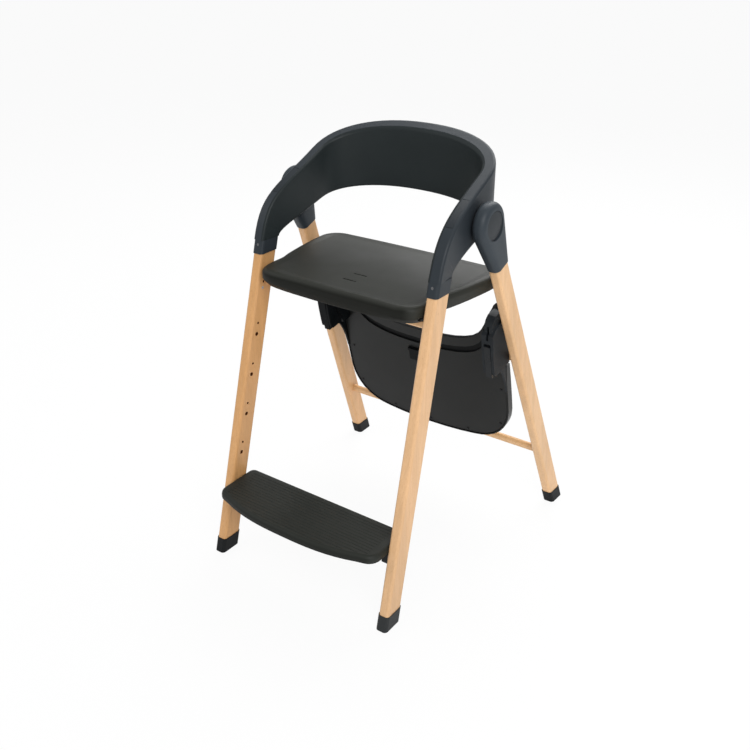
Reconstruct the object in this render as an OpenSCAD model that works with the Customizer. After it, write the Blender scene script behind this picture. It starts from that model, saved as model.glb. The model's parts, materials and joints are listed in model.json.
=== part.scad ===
// Folding children's high chair: beech A-frame, moulded horseshoe arm band with folding hubs,
// peg-mounted seat and footrest, and the tray hung on the rear frame. Millimetres, Z up, front is -Y.

/* [Front legs] */
// Half spacing of the front legs at the floor
front_foot_x = 210; // [208:0.5:212]
// Distance of the front leg axis in front of the origin at the floor
front_foot_y = 286; // [285:0.5:287]
// Backward lean of the front legs in degrees
front_lean = 14.5; // [14.3:0.1:14.7]
// Inward splay of the front legs in degrees
front_splay = 0.84; // [0.7:0.02:1]
// Width of a leg bar across the chair
leg_width = 22; // [21:0.1:22.4]
// Depth of a front leg bar along the chair
front_depth = 44; // [42:0.5:45]
// Corner radius of the leg bars
leg_round = 6; // [4:0.5:8]

/* [Rear legs] */
// Half spacing of the rear legs at the floor
rear_foot_x = 275; // [273:0.5:276]
// Distance of the rear leg axis behind the origin at the floor
rear_foot_y = 291.8; // [290:0.1:293]
// Half spacing of the rear leg axes at the folding axis
hub_leg_x = 222.5; // [222:0.1:223]
// Depth of a rear leg bar along the chair
rear_depth = 40; // [39:0.5:41]

/* [Feet and sockets] */
// Height of the foot caps
cap_height = 30; // [24:1:36]
// Wall of the foot caps
cap_wall = 1.5; // [1:0.1:2]
// Height of the lower edge of the leg sockets
socket_low = 622; // [618:1:628]
// Height of the joint between sockets and arm band
socket_top = 648; // [647:0.5:649]
// Wall of the leg sockets
socket_wall = 1.5; // [1.2:0.1:1.6]

/* [Arm band] */
// Thickness of the arm band
band_thick = 25; // [24.6:0.1:25.4]
// Wall of the two band shells
shell_wall = 2.2; // [2:0.1:2.3]
// Half width of the band centre line at the back
band_half = 190.5; // [190:0.1:191]
// Distance from the straight part of the band to its rearmost centre line
band_back = 101.5; // [98:0.5:104]
// Edge radius of the band
band_round = 5; // [4:0.2:5.6]
// Height of the upper edge where the back begins
band_top = 795.7; // [792:0.5:799]
// Height of the lower edge where the back begins
band_low = 695; // [691:0.5:696]

/* [Folding hubs] */
// Height of the folding axis
hub_z = 719; // [718:0.5:720]
// Distance of the folding axis behind the middle of the arms
hub_y = 3; // [2:0.5:4]
// Radius of the fixed hub plates
plate_r = 27; // [26:0.5:27.5]
// Radius of the pivot bolts
bolt_r = 5; // [4.5:0.1:5.5]
// Running clearance of the pivots
run_gap = 0.05; // [0.03:0.01:0.1]
// Radius of the hub housings
housing_r = 42; // [41:0.5:43]
// Radius of the round lock buttons
button_r = 27; // [25:0.5:28]
// Travel of the lock buttons
button_travel = 3; // [2:0.1:3]

/* [Seat] */
// Height of the seat rim above the floor
seat_top = 604; // [602:0.5:606]
// Height of the underside of the seat
seat_low = 570; // [569:0.5:572]
// Half width of the seat between the front legs
seat_half = 188; // [186:0.5:188.5]
// Radius of the upper seat edge
seat_round = 11; // [9:0.5:12]

/* [Footrest] */
// Height of the footrest surface
rest_top = 163; // [162:0.5:165]
// Thickness of the footrest edge
rest_thick = 16; // [15:0.5:18]
// Half length of the footrest plate
rest_half = 196; // [194:0.5:196]

/* [Crossbars] */
// Long side of the crossbar section
bar_tall = 20; // [18:0.5:22]
// Short side of the lower crossbar section
bar_flat = 12; // [11:0.5:13]
// Short side of the upper crossbar section
bar_slim = 10; // [9:0.2:10.4]
// Radius of the crossbar tenons
tenon_r = 4; // [3.5:0.1:4.5]

/* [Tray] */
// Depth of the tray body
tray_deep = 20; // [18:0.5:21]
// Depth of the tray rim in front of the upper crossbar
tray_thin = 6.4; // [6:0.1:6.6]
// Width of the rim round the underside panel
rim_width = 3; // [2.4:0.2:3.6]
// Width of the tray release levers
lever_width = 14; // [12:0.5:15]

/* [Hidden] */
$fn = 48;
eps = 0.01;
front_cos = cos(front_lean) * cos(front_splay);
stand_y = 13;
rear_run = norm([rear_foot_x - hub_leg_x, rear_foot_y - hub_y, hub_z]);
rear_lean = atan((rear_foot_y - hub_y) / hub_z);
rear_splay = asin((rear_foot_x - hub_leg_x) / rear_run);
sole = 4;
leg_stop = socket_top - 3;
tenon_w = 12;
tenon_d = 30;
peg_y = -5.5;
peg_depth = 12;
peg_pairs = [462, 380, 298, 216, 134];
seat_pin_h = 554;
seat_hole_h = 566;
peg_pitch = 22;
part_n = -7.5;
part_gap = 0.4;
arm_steps = 14;
back_steps = 16;
slope_top = 25.8;
slope_low = 14.6;
tray_tilt = 104.04;
tray_y = 130;
tray_z = 400;
deep_v = -24;
panel_drop = 36;
recess_drop = 21;
bar_low = [231, 152];
bar_high = [143, 403];
hanger_x = 156;
hanger_rise = 20;
lever_v = 66;
lever_w = 52;
plate_x0 = band_half + 9.5;
plate_x1 = band_half + 18.7;
house_x0 = band_half + 19;
house_x1 = band_half + 46;
bolt_x = band_half + 25.9;
seat_peg_h = 578;
rail_at = [-128, 562];

// --- shared shapes ---------------------------------------------------------

module rounded_rect(w, d, r) {
  union() {
    square([w - 2 * r, d], center = true);
    square([w, d - 2 * r], center = true);
    for (sx = [-1, 1], sy = [-1, 1])
      translate([sx * (w / 2 - r), sy * (d / 2 - r)])
        circle(r = r);
  }
}

module bar(w, d, r, z0, z1) {
  translate([0, 0, z0])
    linear_extrude(height = z1 - z0)
      rounded_rect(w, d, r);
}

module slab(z0, z1) {
  translate([-400, -400, z0])
    cube([800, 800, z1 - z0]);
}

// the chair stands with the middle of its footprint at the origin
module stand() {
  translate([0, stand_y, 0])
    children();
}

module at_front_leg() {
  translate([front_foot_x, -front_foot_y, 0])
    rotate([-front_lean, 0, 0])
      rotate([0, -front_splay, 0])
        children();
}

module at_rear_leg() {
  translate([rear_foot_x, rear_foot_y, 0])
    rotate([rear_lean, 0, 0])
      rotate([0, -rear_splay, 0])
        children();
}

module along_x(x0) {
  translate([x0, hub_y, hub_z])
    rotate([0, 90, 0])
      children();
}

module front_bar(w, d, r, z0, z1) {
  intersection() {
    at_front_leg()
      bar(w, d, r, -40, 720);
    slab(z0, z1);
  }
}

module rear_bar(w, d, r, z0, z1) {
  intersection() {
    at_rear_leg()
      bar(w, d, r, -40, rear_run - 34);
    slab(z0, z1);
  }
}

// local height on a front leg of a point at world height h on the peg line
function leg_h(h) = (h + peg_y * sin(front_lean)) / front_cos;

function mirror_pts(p) = concat(p, [for (i = [len(p) - 1 : -1 : 0]) if (abs(p[i][0]) > 0.01) [-p[i][0], p[i][1]]]);
function unit(v) = v / norm(v);
function edge_n(a, b) = [b[1] - a[1], a[0] - b[0]] / norm(b - a);
function inset_pt(p, i, d) =
  let (n = len(p), a = edge_n(p[(i + n - 1) % n], p[i]), b = edge_n(p[i], p[(i + 1) % n]), m = a + b)
  p[i] - m * (2 * d / (m * m));
function inset(p, d) = [for (i = [0 : len(p) - 1]) inset_pt(p, i, d)];
function arc_pts(cx, cy, r, a0, a1, n) = [for (i = [0 : n]) [cx + r * cos(a0 + (a1 - a0) * i / n), cy + r * sin(a0 + (a1 - a0) * i / n)]];

// plate built from inset rings of one outline: rings are [inset, z], closed by fans at both ends
module ring_plate(outline, rings, c) {
  n = len(outline);
  m = len(rings);
  pts = concat(
    [for (r = rings) for (p = inset(outline, r[0])) [p[0], p[1], r[1]]],
    [[c[0], c[1], rings[0][1]], [c[0], c[1], c[2]]]);
  polyhedron(points = pts, faces = concat(
    [for (k = [0 : m - 2]) for (i = [0 : n - 1])
      for (t = [0, 1])
        t == 0 ? [k * n + i, (k + 1) * n + i, k * n + (i + 1) % n]
               : [k * n + (i + 1) % n, (k + 1) * n + i, (k + 1) * n + (i + 1) % n]],
    [for (i = [0 : n - 1]) [m * n, i, (i + 1) % n]],
    [for (i = [0 : n - 1]) [m * n + 1, (m - 1) * n + (i + 1) % n, (m - 1) * n + i]]));
}

// --- front frame -----------------------------------------------------------

module peg_holes() {
  at_front_leg()
    for (h = peg_pairs)
      for (k = [0, 1])
        translate([-leg_width / 2 - 1, peg_y, leg_h(h + k * peg_pitch)])
          rotate([0, 90, 0])
            cylinder(r = k == 0 ? 3 : 2.5, h = peg_depth + 1);
  seat_hole(3, seat_pin_h, -leg_width / 2 - 1, peg_depth);
  seat_hole(2.5, seat_hole_h, -leg_width / 2 - 1, peg_depth);
}

module seat_hole(r, h, x0, x1) {
  at_front_leg()
    translate([x0, peg_y, leg_h(h)])
      rotate([0, 90, 0])
        cylinder(r = r, h = x1 - leg_width / 2 - x0);
}

module seat_peg(r, x0) {
  at_front_leg()
    translate([x0, peg_y, leg_h(seat_peg_h)])
      rotate([0, 90, 0])
        cylinder(r = r, h = peg_depth - leg_width / 2 - x0);
}

module front_leg() {
  color("BurlyWood")
    difference() {
      union() {
        front_bar(leg_width, front_depth, leg_round, sole, leg_stop);
        front_bar(tenon_w, tenon_d, 3, leg_stop - 4, 684);
      }
      peg_holes();
      seat_peg(4.05, -leg_width / 2 - 1);
      rail_tenon(tenon_r + 0.05);
      at_front_leg()
        translate([0, -front_depth / 2 + 10, leg_h(635)])
          rotate([90, 0, 0])
            cylinder(r = 1.55, h = 11);
    }
}

module front_foot_cap() {
  color("DimGray")
    difference() {
      front_bar(leg_width + 2 * cap_wall, front_depth + 2 * cap_wall, leg_round + cap_wall, 0, cap_height);
      front_bar(leg_width, front_depth, leg_round, sole, cap_height + 1);
    }
}

module leg_socket() {
  color("DarkSlateGray")
    difference() {
      union() {
        front_bar(leg_width + 2 * socket_wall, front_depth + 2 * socket_wall, leg_round + 1, socket_low, socket_top);
        front_bar(tenon_w + 3, tenon_d + 3, 4, socket_top - 1, 686);
      }
      front_bar(leg_width + 0.1, front_depth + 0.1, leg_round, socket_low - 1, leg_stop);
      front_bar(tenon_w + 0.1, tenon_d + 0.1, 3, leg_stop - 1, 684.2);
      at_front_leg()
        translate([0, -front_depth / 2 + 1, leg_h(635)])
          rotate([90, 0, 0])
            cylinder(r = 2.75, h = 6);
    }
}

module socket_screw() {
  at_front_leg()
    translate([0, -front_depth / 2, leg_h(635)])
      rotate([90, 0, 0]) {
        cylinder(r = 2.6, h = 1.4);
        translate([0, 0, -9])
          cylinder(r = 1.5, h = 9 + eps);
      }
}

module socket_screws() {
  color("Silver")
    for (s = [0, 1])
      mirror([s, 0, 0])
        socket_screw();
}

// --- horseshoe band --------------------------------------------------------

function plan_x(y) =
  y < -95 ? let (q = -95 - y) band_half + 7.34 + 0.1151 * q - 0.00096 * q * q
          : y < 32.5 ? band_half + 0.0004515 * (32.5 - y) * (32.5 - y) : band_half;
function plan_n(y) = let (s = (plan_x(y - 0.5) - plan_x(y + 0.5))) unit([1, s]);
function bez(p, u) = p[0] * pow(1 - u, 3) + p[1] * 3 * u * pow(1 - u, 2) + p[2] * 3 * u * u * (1 - u) + p[3] * pow(u, 3);
leg_dir = [sin(front_lean), cos(front_lean)];
top_curve = [[-143, socket_top], [-143, socket_top] + 91 * leg_dir,
  [32.5, band_top] - 125 * [cos(slope_top), sin(slope_top)], [32.5, band_top]];
low_curve = [[-94.5, socket_top], [-94.5, socket_top] + 12 * leg_dir,
  [32.5, band_low] - 80 * [cos(16), sin(16)], [32.5, band_low]];
// point of an arm: u along the arm, n across, side 0 from the upper edge or 1 from the lower, depth d
function arm_pt(u, n, side, d) =
  let (t = bez(top_curve, u), b = bez(low_curve, u), e = unit(b - t), p = side == 0 ? t + d * e : b - d * e, m = plan_n(p[0]))
  [plan_x(p[0]) + n * m[0], p[0] + n * m[1], p[1]];
sup = 2.2;
// point of the back: a is the angle round the back from 0 at the side to 90 in the middle
function back_pt(a, n, side, d) =
  let (c = abs(cos(a)) < 0.0001 ? 0 : abs(cos(a)), s = sin(a), x = band_half * pow(c, 2 / sup), y = band_back * pow(s, 2 / sup),
    m = unit([pow(x / band_half, sup - 1) / band_half, pow(y / band_back, sup - 1) / band_back]), yy = y + n * m[1])
  [x + n * m[0], 32.5 + yy,
    side == 0 ? band_top + tan(slope_top) * yy - d : band_low + tan(slope_low) * yy + d];
function band_pt(k, c) = k <= arm_steps ? arm_pt(k / arm_steps, c[0], c[1], c[2]) : back_pt(90 * (k - arm_steps) / back_steps, c[0], c[1], c[2]);
half_steps = arm_steps + back_steps;
function ring_at(k, cs) = k <= half_steps ? [for (c = cs) band_pt(k, c)]
  : [for (c = cs) let (p = band_pt(2 * half_steps - k, c)) [-p[0], p[1], p[2]]];

// closed sweep of a contour given as an outer and an inner row of equal length
module sweep(rings, m) {
  n = len(rings);
  w = 2 * m;
  o = (n - 1) * w;
  polyhedron(points = [for (r = rings) for (p = r) p], faces = concat(
    [for (k = [0 : n - 2]) for (j = [0 : w - 1])
      for (t = [0, 1])
        t == 0 ? [k * w + j, (k + 1) * w + j, k * w + (j + 1) % w]
               : [k * w + (j + 1) % w, (k + 1) * w + j, (k + 1) * w + (j + 1) % w]],
    [for (j = [0 : m - 2]) for (t = [0, 1])
      t == 0 ? [j, j + 1, w - 1 - j] : [j + 1, w - 2 - j, w - 1 - j]],
    [for (j = [0 : m - 2]) for (t = [0, 1])
      t == 0 ? [o + j, o + w - 1 - j, o + j + 1] : [o + j + 1, o + w - 1 - j, o + w - 2 - j]]));
}

function corner(n0, s, r, rr, side, up) =
  [for (i = [0 : 3]) let (a = up ? 90 - 30 * i : 30 * i) [n0 + s * rr * sin(a), side, r - rr * cos(a)]];
out_c = band_thick / 2 - band_round;
outer_rows = concat(
  [[part_n, 0, 0]], corner(out_c, 1, band_round, band_round, 0, false),
  corner(out_c, 1, band_round, band_round, 1, true), [[part_n, 1, 0]],
  [[part_n, 1, shell_wall]], corner(out_c, 1, band_round, band_round - shell_wall, 1, false),
  corner(out_c, 1, band_round, band_round - shell_wall, 0, true), [[part_n, 0, shell_wall]]);
in_c = part_n - part_gap;
in_r = band_thick / 2 + in_c;
inner_rows = concat(
  corner(in_c, -1, in_r, in_r, 0, false), corner(in_c, -1, in_r, in_r, 1, true),
  corner(in_c, -1, in_r, in_r - shell_wall, 1, false), corner(in_c, -1, in_r, in_r - shell_wall, 0, true));
cover_u0 = 0.49;
cover_u1 = 0.79;
function cover_ring(u, g) = [for (c = [[-6.3 - g, 0, g > 0 ? -2 : 0], [6.9 + g, 0, g > 0 ? -2 : 0], [6.9 + g, 0, 1.1 - (g > 0 ? 0 : 0.04)], [-6.3 - g, 0, 1.1 - (g > 0 ? 0 : 0.04)]]) arm_pt(u, c[0], c[1], c[2])];
module cover_body(g, du) {
  sweep([for (i = [0 : 8]) cover_ring(cover_u0 - du + (cover_u1 - cover_u0 + 2 * du) * i / 8, g)], 2);
}

module hoop_outer_shell() {
  color("DarkSlateGray")
    difference() {
      sweep([for (k = [0 : 2 * half_steps]) ring_at(k, outer_rows)], len(outer_rows) / 2);
      for (s = [0, 1])
        mirror([s, 0, 0]) {
          along_x(plate_x0 - 4)
            cylinder(r = plate_r + 0.2, h = 20);
          cover_body(0.12, 0.004);
        }
    }
}

module hoop_inner_shell() {
  color("SlateGray")
    sweep([for (k = [0 : 2 * half_steps]) ring_at(k, inner_rows)], len(inner_rows) / 2);
}

module arm_cover() {
  color("DimGray")
    cover_body(0, 0);
}

// --- folding hubs ----------------------------------------------------------

module hub_plate() {
  color("DimGray")
    difference() {
      union() {
        along_x(plate_x0)
          cylinder(r = plate_r, h = plate_x1 - plate_x0);
        along_x(plate_x0 - 18.2)
          cylinder(r = 14, h = 18.2 + eps);
      }
      along_x(plate_x0 - 19)
        cylinder(r = bolt_r + run_gap, h = 30);
    }
}

module pivot_bolt() {
  color("Silver")
    difference() {
      union() {
        along_x(bolt_x - 33.4)
          cylinder(r = bolt_r, h = 33.4);
        along_x(bolt_x - 0.1)
          cylinder(r = 9, h = 3.7);
      }
      along_x(bolt_x + 1.6)
        cylinder(r = 3, h = 3);
    }
}

module hub_housing() {
  color("DarkSlateGray")
    difference() {
      hull() {
        along_x(house_x0)
          rotate_extrude($fn = 64)
            polygon(concat([[0, 0]], arc_pts(housing_r - 10, 10, 10, -90, 0, 5),
              arc_pts(housing_r - 12, house_x1 - house_x0 - 12, 12, 0, 90, 6), [[0, house_x1 - house_x0]]));
        at_rear_leg()
          translate([0, 0, rear_run - 92])
            linear_extrude(height = 14)
              rounded_rect(leg_width + 5, rear_depth + 4.6, 10);
      }
      at_rear_leg()
        bar(leg_width + 0.1, rear_depth + 0.1, leg_round, rear_run - 120, rear_run - 34);
      along_x(house_x0 + 15.4)
        cylinder(r = button_r + 0.3, h = 20);
      along_x(bolt_x - 0.2)
        cylinder(r = 9.4, h = 10);
      along_x(house_x0 - 1.5)
        cylinder(r = bolt_r + run_gap, h = 10);
    }
}

module hub_button() {
  color("SlateGray")
    along_x(house_x0 + 13.7)
      rotate_extrude($fn = 64)
        polygon([[0, 0], [9.3, 0], [9.3, 5], [button_r, 5], [button_r, 12.5], [button_r - 0.8, 13.1], [14, 13.6], [0, 13.8]]);
}

// --- rear frame ------------------------------------------------------------

module crossbar_body(at, x0, t) {
  translate([-x0, at[0], at[1]])
    rotate([rear_lean, 0, 0])
      rotate([90, 0, 90])
        linear_extrude(height = 2 * x0)
          rounded_rect(t, bar_tall, t / 2 - 0.2);
}

module bar_tenons(at, x0, r) {
  for (s = [-1, 1])
    translate([s * (x0 - 8), at[0], at[1]])
      rotate([0, s * 90, 0])
        cylinder(r = r, h = 22);
}

module rear_leg() {
  color("BurlyWood")
    difference() {
      rear_bar(leg_width, rear_depth, leg_round, sole, hub_z);
      bar_tenons(bar_low, 252, tenon_r + 0.05);
      bar_tenons(bar_high, 232, tenon_r + 0.05);
    }
}

module crossbar(at, x0, t) {
  color("BurlyWood")
    difference() {
      union() {
        crossbar_body(at, x0 + 6, t);
        bar_tenons(at, x0, tenon_r);
      }
      for (s = [0, 1])
        mirror([s, 0, 0])
          difference() {
            at_rear_leg()
              bar(leg_width + 0.1, rear_depth + 8, 1, at[1] - 40, at[1] + 80);
            bar_tenons(at, x0, tenon_r);
          }
    }
}

module lower_crossbar() {
  crossbar(bar_low, 252, bar_flat);
}

module upper_crossbar() {
  crossbar(bar_high, 232, bar_slim);
}

module rear_foot_cap() {
  color("DimGray")
    difference() {
      rear_bar(leg_width + 2 * cap_wall, rear_depth + 2 * cap_wall, leg_round + cap_wall, 0, cap_height);
      rear_bar(leg_width, rear_depth, leg_round, sole, cap_height + 1);
    }
}

// --- seat ------------------------------------------------------------------

seat_line = mirror_pts(concat(
  [[0, -177], [40, -176.6], [70, -175.5], [95, -173.5], [118, -170.5], [138, -167]],
  [for (p = [[-36, -163.5], [-27, -159.5], [-18.5, -153.5], [-11.5, -145], [-6.5, -134.5], [-3, -123], [-1, -111], [0, -100], [2, -86], [7, -70], [11, -50], [16, -20], [20, 12], [23, 40]])
    [seat_half + p[0], p[1]]],
  arc_pts(seat_half - 20, 62, 44, 3, 86, 7),
  [[140, 106.6], [90, 108], [45, 108.4], [0, 108.5]]));

module seat_plate() {
  color("DimGray")
    difference() {
      ring_plate(seat_line,
        concat([[4, seat_low], [2, seat_low + 3], [0.6, seat_low + 8], [0, seat_low + 13], [0, seat_top - seat_round]],
          [for (a = [22.5 : 22.5 : 90]) [seat_round * (1 - cos(a)), seat_top - seat_round * (1 - sin(a))]],
          [[17, seat_top - 1.2], [26, seat_top - 2]]),
        [0, -20, seat_top - 3]);
      difference() {
        union() {
          translate([0, 0, seat_low - 1])
            linear_extrude(height = seat_top - seat_low - 15)
              polygon(inset(seat_line, 6));
          translate([0, 0, seat_low])
            linear_extrude(height = seat_top - seat_low - 7)
              polygon(inset(seat_line, 14));
        }
        for (x = [-120, -60, 60, 120])
          translate([x - 1.5, -172, seat_low + 8])
            cube([3, 292, 40]);
        for (y = [-60, 20])
          translate([-220, y - 1.5, seat_low + 8])
            cube([440, 3, 40]);
      }
      for (y = [-81.5, -115.5])
        translate([-15, y - 1.5, seat_low - 5])
          cube([30, 3, 60]);
      rotate([90, 0, 90])
        translate([0, 0, -260])
          linear_extrude(height = 520)
            polygon([[-103, seat_low - 10], [-103, seat_low], [-90, seat_low + 7], [140, seat_low + 7], [140, seat_low - 10]]);
      for (s = [0, 1])
        mirror([s, 0, 0])
          seat_peg(4.05, -leg_width / 2 - 30);
    }
}

module seat_bracket() {
  color("Black")
    union() {
      intersection() {
        translate([150, -152, seat_low + 1.5])
          cube([40, 44, seat_top - seat_low - 17.5]);
        translate([0, 0, seat_low])
          linear_extrude(height = 30)
            polygon(inset(seat_line, 6.1));
      }
      seat_peg(4, -leg_width / 2 - 26);
    }
}

module seat_pins() {
  color("Silver")
    for (s = [0, 1])
      mirror([s, 0, 0])
        seat_hole(2.92, seat_pin_h, -leg_width / 2, peg_depth - 1.5);
}

module rail_tenon(r) {
  translate([180, rail_at[0], rail_at[1]])
    rotate([0, 90, 0])
      cylinder(r = r, h = 20);
}

module seat_rail() {
  color("BurlyWood")
    difference() {
      union() {
        translate([0, rail_at[0], rail_at[1]])
          rotate([90, 0, 90])
            translate([0, 0, -196])
              linear_extrude(height = 392)
                rounded_rect(20, 2 * (seat_low - rail_at[1]), 2);
        for (s = [0, 1])
          mirror([s, 0, 0])
            rail_tenon(tenon_r);
      }
      for (s = [0, 1])
        mirror([s, 0, 0])
          difference() {
            at_front_leg()
              bar(leg_width + 0.1, front_depth + 8, 1, 500, 640);
            rail_tenon(tenon_r);
          }
    }
}

// --- footrest --------------------------------------------------------------

rest_low = rest_top - rest_thick;
rest_line = mirror_pts(concat(
  [for (x = [0 : 20 : 160]) [x, -341 + 25 * pow(x / 170, 2.7)]],
  arc_pts(rest_half - 26, -290, 26, -75, 0, 6),
  [[rest_half, -260], [rest_half, -232]],
  arc_pts(rest_half - 14, -219, 14, 0, 90, 4),
  [[120, -205], [60, -205], [0, -205]]));

module footrest_plate() {
  color("DimGray")
    difference() {
      union() {
        ring_plate(rest_line,
          concat([[1.5, rest_low], [0, rest_low + 1.5], [0, rest_top - 8]],
            [for (a = [30 : 30 : 90]) [8 * (1 - cos(a)), rest_top - 8 * (1 - sin(a))]]),
          [0, -255, rest_top]);
        for (i = [0 : 13])
          let (y = -327 + 8 * i, l = min(176, 170 * pow((y + 331) / 25, 0.37)))
            translate([-l, y, rest_top - 1])
              cube([2 * l, 2.4, 1.5]);
      }
      difference() {
        translate([0, 0, rest_low - 1])
          linear_extrude(height = rest_thick - 3.5)
            polygon(inset(rest_line, 4));
        for (x = [-100, 0, 100])
          translate([x - 1.5, -345, rest_low + 6])
            cube([3, 145, 30]);
        for (y = [-300, -235])
          translate([-220, y - 1.5, rest_low + 6])
            cube([440, 3, 30]);
      }
    }
}

module rest_peg(r, x0) {
  at_front_leg()
    translate([x0, peg_y, leg_h(134)])
      rotate([0, 90, 0])
        cylinder(r = r, h = peg_depth - 1.5 - leg_width / 2 - x0);
}

module footrest_bracket() {
  color("Black")
    difference() {
      intersection() {
        at_front_leg()
          translate([-leg_width / 2 - 0.4 - 13, -17, 0])
            cube([13, 42, 300]);
        slab(128, rest_low);
      }
      rest_peg(3, -leg_width / 2 - 15);
    }
}

module footrest_pins() {
  color("Silver")
    for (s = [0, 1])
      mirror([s, 0, 0])
        rest_peg(2.92, -leg_width / 2 - 13);
}

// --- tray ------------------------------------------------------------------

module at_tray() {
  translate([0, tray_y, tray_z])
    rotate([tray_tilt, 0, 0])
      children();
}

tray_right = concat(
  [[0, -252], [40, -251], [80, -248], [115, -243.5], [136, -239.5], [153, -233], [170, -223], [184, -210], [194, -196], [201, -182], [206, -167], [209, -147]],
  [[209.8, -110], [210, -60], [209.5, -15], [209.5, 20], [214, 36], [218, 50], [220, 75], [220, 105]],
  arc_pts(204, 118, 16, 0, 170, 8),
  [[181, 108], [174, 92], [166, 74], [158, 59], [148, 46], [134, 35], [115, 27], [90, 20.5], [60, 16.6], [30, 14.9]]);
tray_line = concat(tray_right, [[0, 14.4]], [for (i = [len(tray_right) - 1 : -1 : 1]) [-tray_right[i][0], tray_right[i][1]]]);
tray_screw_at = [[194, -89], [186, -188], [99, -235], [0, -242]];

module lowered(inner, drop) {
  intersection() {
    polygon(inset(tray_line, inner));
    translate([0, -drop])
      polygon(inset(tray_line, inner));
  }
}

module deep_cut(inner) {
  intersection() {
    polygon(inset(tray_line, inner));
    translate([-300, -300])
      square([600, 300 + deep_v - (inner > 0 ? 2.5 : 0)]);
  }
}

module tray_body() {
  difference() {
    union() {
      translate([0, 0, -tray_thin])
        linear_extrude(height = tray_thin - 1.2)
          polygon(tray_line);
      translate([0, 0, -1.2])
        linear_extrude(height = 1.2)
          polygon(inset(tray_line, 1));
      translate([0, 0, 1.6 - tray_deep])
        linear_extrude(height = tray_deep - tray_thin)
          deep_cut(0);
      translate([0, 0, -tray_deep])
        linear_extrude(height = 1.7)
          deep_cut(1.4);
    }
    translate([0, 0, -4.8])
      linear_extrude(height = 10)
        lowered(rim_width, recess_drop);
    difference() {
      translate([0, 0, 2.6 - tray_deep])
        linear_extrude(height = tray_deep)
          deep_cut(rim_width + 3);
      for (s = [-1, 1])
        for (p = tray_screw_at)
          translate([s * p[0], p[1], -tray_deep])
            cylinder(r = 4, h = tray_deep - 4.8);
      for (x = [-140, -70, 0, 70, 140])
        translate([x - 1, -260, -tray_deep])
          cube([2, 260, 9]);
    }
    for (s = [-1, 1])
      for (p = tray_screw_at)
        translate([s * p[0], p[1], -15])
          cylinder(r = 1.6, h = 15);
  }
}

module tray_shell() {
  color("DimGray")
    difference() {
      at_tray()
        tray_body();
      for (s = [0, 1])
        mirror([s, 0, 0])
          hanger_peg(4.1, 10.7);
    }
}

module tray_base() {
  color("DarkSlateGray")
    difference() {
      at_tray()
        translate([0, 0, -4.8])
          linear_extrude(height = 3.2)
            lowered(rim_width + 1.6, panel_drop);
      at_tray() {
        for (s = [-1, 1])
          for (p = tray_screw_at)
            translate([s * p[0], p[1], -6])
              cylinder(r = 1.6, h = 6);
        translate([-20, -66, -6])
          cube([40, 18, 6]);
      }
      for (s = [0, 1])
        mirror([s, 0, 0])
          hanger_peg(4.1, 10.7);
    }
}

module tray_screws() {
  color("Black")
    at_tray()
      for (s = [-1, 1])
        for (p = tray_screw_at)
          translate([s * p[0], p[1], -1.6]) {
            cylinder(r = 3, h = 1.4);
            translate([0, 0, -10])
              cylinder(r = 1.5, h = 10 + eps);
          }
}

module tray_clip() {
  color("Black")
    at_tray() {
      translate([-33, -75, -1.6])
        cube([66, 34, 3]);
      translate([-19, -65, -9])
        cube([38, 16, 8]);
      translate([-33, -49, 1.3])
        cube([66, 6, 3.2]);
    }
}

module latch_side(x0, w, pts) {
  translate([x0, 0, 0])
    rotate([90, 0, 90])
      linear_extrude(height = w)
        polygon(pts);
}

module tray_latch() {
  color("Black")
    at_tray()
      difference() {
        union() {
          latch_side(194, 26, [[-3, 0], [-2, 54], [3, 60], [20, 61], [60, 60], [96, 56], [104, 44], [110, 0]]);
          latch_side(198.5, 18, [[90, 0], [90, 52], [116, 50], [124, 44], [130, 34], [131, 18], [125, 0]]);
          latch_side(204.8, 5, [[-90, 0], [-60, 3.5], [-40, 8], [-22, 15], [-8, 25], [0, 50], [60, 40], [100, 0]]);
          latch_side(186, 9, [[-3, 0], [-2, 26], [30, 34], [100, 30], [112, 0]]);
        }
        translate([199.5 - 0.5, -10, 38])
          cube([lever_width + 1, 86, 40]);
        translate([204, 84, 44])
          cube([5, 30, 30]);
        translate([199, lever_v, lever_w])
          rotate([0, 90, 0])
            translate([0, 0, -3])
              cylinder(r = 2.05, h = lever_width + 7);
        translate([198.5, 2, -1])
          cube([16, 102, 30]);
      }
}

module tray_lever() {
  color("DarkSlateGray")
    at_tray()
      union() {
        translate([199.5, -5, lever_w + 2])
          cube([lever_width, 76, 7]);
        translate([199.5, -5, lever_w - 4])
          cube([lever_width, 5, 7]);
        translate([199.5, lever_v - 4, lever_w - 3])
          cube([lever_width, 8, 6]);
        translate([199.5 - 2.8, lever_v, lever_w])
          rotate([0, 90, 0])
            cylinder(r = 2, h = lever_width + 5.6);
      }
}

module hanger_peg(r, l) {
  translate([hanger_x, bar_high[0], bar_high[1]])
    rotate([90 - hanger_rise, 0, 0])
      cylinder(r = r, h = l);
}

module tray_hanger() {
  color("Black")
    difference() {
      union() {
        difference() {
          translate([0, bar_high[0], bar_high[1]])
            rotate([rear_lean, 0, 0])
              translate([hanger_x - 9, -bar_slim / 2 - 3, -bar_tall / 2 - 3])
                cube([18, bar_slim + 6, bar_tall + 6]);
          at_tray()
            translate([hanger_x - 30, -20, -tray_thin - 0.3])
              cube([60, 80, 40]);
        }
        hanger_peg(4, 10.4);
      }
      crossbar_body(bar_high, 200, bar_slim);
    }
}

// --- left and right --------------------------------------------------------

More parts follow.
